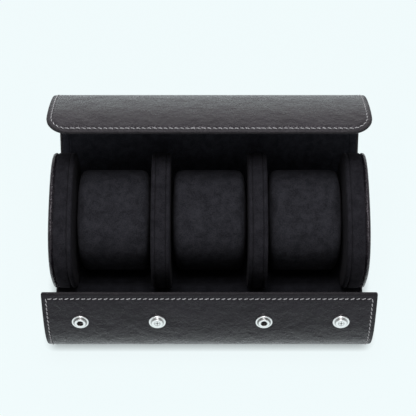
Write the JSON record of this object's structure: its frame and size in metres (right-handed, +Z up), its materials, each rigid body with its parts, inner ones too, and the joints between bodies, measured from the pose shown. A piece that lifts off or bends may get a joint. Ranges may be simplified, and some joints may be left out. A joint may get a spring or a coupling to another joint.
{
  "type": "watch travel case",
  "caption": "Leather roll case with curved upper and lower flaps, snap fasteners, padded walls and removable watch cushions, standing open.",
  "frame": {"origin": "middle of the open case's footprint, on the surface that it stands on", "axes": "+X along the roll to the right as seen from the front, -Y towards the front, where the lower flap lies, +Z up"},
  "size_m": [0.22, 0.1704, 0.1321],
  "materials": {
    "leather": "satin",
    "suede": "matte",
    "board": "matte",
    "foam": "matte",
    "chrome": "polished"
  },
  "bodies": {
    "tray": {"base_leather": "leather", "base_board": "board", "base_lining": "suede", "base_sole_board": "board", "left_end_board": "board", "left_end_band": "suede", "left_end_pad": "suede", "left_end_cap": "leather", "right_end_board": "board", "right_end_band": "suede", "right_end_pad": "suede", "right_end_cap": "leather", "left_divider_board": "board", "left_divider_band": "suede", "left_divider_outer_pad": "suede", "left_divider_inner_pad": "suede", "right_divider_board": "board", "right_divider_band": "suede", "right_divider_outer_pad": "suede", "right_divider_inner_pad": "suede"},
    "upper_flap": {"upper_flap_leather": "leather", "upper_flap_board": "board", "upper_flap_lining": "suede", "snap_sockets": "chrome", "snap_socket_springs": "chrome", "snap_socket_washers": "chrome"},
    "lower_flap": {"lower_flap_leather": "leather", "lower_flap_board": "board", "lower_flap_lining": "suede", "snap_studs_open": "chrome", "snap_studs_crimped": "chrome", "snap_stud_eyelets": "chrome"},
    "left_cushion": {"left_cushion_cover": "suede", "left_cushion_core": "foam"},
    "center_cushion": {"center_cushion_cover": "suede", "center_cushion_core": "foam"},
    "right_cushion": {"right_cushion_cover": "suede", "right_cushion_core": "foam"}
  },
  "joints": [
    {"name": "upper_flap_fold", "type": "hinge", "parent": "tray", "child": "upper_flap", "pos_m": [0, 0.05973, 0.04041], "axis": [-1, 0, 0], "range_deg": [-46.5, 30]},
    {"name": "lower_flap_fold", "type": "hinge", "parent": "tray", "child": "lower_flap", "pos_m": [0, -0.01759, 0.00575], "axis": [1, 0, 0], "range_deg": [-60.51, 0]},
    {"name": "left_cushion_lift", "type": "slide", "parent": "tray", "child": "left_cushion", "axis": [0, -0.5736, 0.8192], "range_m": [0, 0.09]},
    {"name": "center_cushion_lift", "type": "slide", "parent": "tray", "child": "center_cushion", "axis": [0, -0.5736, 0.8192], "range_m": [0, 0.09]},
    {"name": "right_cushion_lift", "type": "slide", "parent": "tray", "child": "right_cushion", "axis": [0, -0.5736, 0.8192], "range_m": [0, 0.09]}
  ]
}
